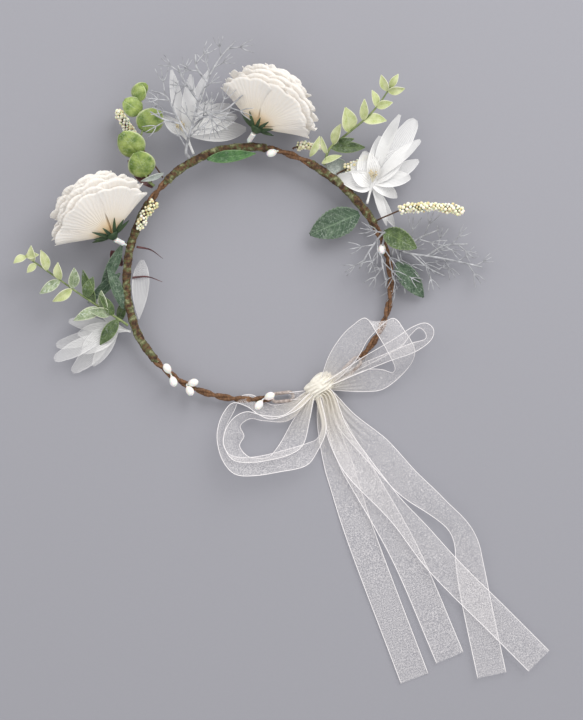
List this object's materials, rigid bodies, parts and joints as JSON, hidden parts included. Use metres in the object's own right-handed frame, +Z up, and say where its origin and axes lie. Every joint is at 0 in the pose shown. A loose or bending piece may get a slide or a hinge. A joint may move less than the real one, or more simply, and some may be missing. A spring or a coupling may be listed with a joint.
{
  "type": "flower crown",
  "caption": "Bridal flower crown: a twisted vine ring with silk flowers and greenery, tied at the back with a long organza ribbon bow.",
  "frame": {"origin": "middle of the vine ring, at the height of the surface that the crown lies on", "axes": "+Y in the ring's plane, away from the bow; +X to the right seen from above; +Z up, out of the surface"},
  "size_m": [0.3692, 0.4409, 0.052],
  "materials": {
    "vine_paper": "matte brown wrapped paper",
    "floral_tape": "matte crepe tape",
    "wire": "paper-tinted wire",
    "peg_plastic": "semi-gloss",
    "calyx_green": "matte",
    "rose_silk": "soft matte silk",
    "stamen": "matte",
    "lily_silk": "sheer",
    "pale_leaf": "matte",
    "round_leaf": "satin",
    "frosted_leaf": "frosted",
    "green_leaf": "satin",
    "maroon_leaf": "satin",
    "bead": "matte",
    "twig": "matte",
    "pip": "gloss",
    "organza": "sheer with bright selvedges"
  },
  "bodies": {
    "crown": {"vine_strand_a": "vine_paper", "vine_strand_b": "vine_paper", "tape_left": "floral_tape", "tape_top": "floral_tape", "tape_right": "floral_tape", "eyelet_left": "wire", "eyelet_right": "wire", "lily_top_petals": "lily_silk", "lily_top_stamens": "stamen", "lily_left_petals": "lily_silk", "lily_left_inner_petal": "lily_silk", "round_eucalyptus": "round_leaf", "serrated_leaf_inner": "frosted_leaf", "serrated_leaf_outer": "green_leaf", "serrated_leaf_low": "frosted_leaf", "green_leaf_top": "green_leaf", "frosted_leaf_right": "frosted_leaf", "long_leaf_upper": "frosted_leaf", "long_leaf_lower": "green_leaf", "maroon_leaf_upper": "maroon_leaf", "maroon_leaf_lower": "maroon_leaf", "thorn_upper": "maroon_leaf", "thorn_lower": "maroon_leaf", "bead_spike_right": "bead", "bead_spike_top": "bead", "bead_spike_upper_right": "bead", "bead_spike_left": "bead", "bead_spike_inner": "bead", "twig_spray_top": "twig", "twig_spray_right": "twig", "pip_right": "pip", "pip_low_outer": "pip", "pip_low_inner": "pip", "pip_bottom": "pip", "pip_top": "pip", "ribbon_knot": "organza", "ribbon_tie_left": "organza", "ribbon_tie_right": "organza"},
    "rose_left_head": {"rose_left_peg": "peg_plastic", "rose_left_calyx": "calyx_green", "rose_left_outer_petals": "rose_silk", "rose_left_middle_petals": "rose_silk", "rose_left_heart": "rose_silk"},
    "rose_top_head": {"rose_top_peg": "peg_plastic", "rose_top_calyx": "calyx_green", "rose_top_outer_petals": "rose_silk", "rose_top_middle_petals": "rose_silk", "rose_top_heart": "rose_silk"},
    "lily_right_head": {"lily_right_petals": "lily_silk", "lily_right_stamens": "stamen"},
    "eucalyptus_left_spray": {"eucalyptus_left": "pale_leaf"},
    "eucalyptus_right_spray": {"eucalyptus_right": "pale_leaf"},
    "bow_left_loops": {"bow_left_outer": "organza", "bow_left_inner": "organza"},
    "bow_right_loops": {"bow_right_wide": "organza", "bow_right_narrow": "organza"},
    "ribbon_tails": {"ribbon_tail_left": "organza", "ribbon_tail_second": "organza", "ribbon_tail_curved": "organza", "ribbon_tail_right": "organza"}
  },
  "joints": [
    {"name": "rose_left_bend", "type": "hinge", "parent": "crown", "child": "rose_left_head", "pos_m": [-0.08693, 0.01927, 0.01489], "axis": [0.6157, 0.788, 0], "range_deg": [0, 40]},
    {"name": "rose_top_bend", "type": "hinge", "parent": "crown", "child": "rose_top_head", "pos_m": [-0.00777, 0.08876, 0.01639], "axis": [0.829, -0.5592, 0], "range_deg": [0, 40]},
    {"name": "lily_right_bend", "type": "hinge", "parent": "crown", "child": "lily_right_head", "pos_m": [0.07496, 0.04504, 0.01061], "axis": [0.9703, -0.2419, 0], "range_deg": [0, 35]},
    {"name": "eucalyptus_left_bend", "type": "hinge", "parent": "crown", "child": "eucalyptus_left_spray", "pos_m": [-0.08244, -0.03844, 0.01107], "axis": [0.578, 0.816, 0], "range_deg": [0, 45]},
    {"name": "eucalyptus_right_bend", "type": "hinge", "parent": "crown", "child": "eucalyptus_right_spray", "pos_m": [0.04535, 0.07258, 0.01355], "axis": [0.9487, -0.3162, 0], "range_deg": [0, 45]},
    {"name": "bow_left_lift", "type": "hinge", "parent": "crown", "child": "bow_left_loops", "pos_m": [0.04357, -0.07547, 0.007], "axis": [-0.6947, 0.7193, 0], "range_deg": [0, 35]},
    {"name": "bow_right_lift", "type": "hinge", "parent": "crown", "child": "bow_right_loops", "pos_m": [0.04357, -0.07547, 0.007], "axis": [0.5, -0.866, 0], "range_deg": [0, 35]},
    {"name": "tails_lift", "type": "hinge", "parent": "crown", "child": "ribbon_tails", "pos_m": [0.04357, -0.07547, 0.007], "axis": [-0.878, -0.4787, 0], "range_deg": [0, 50]}
  ]
}
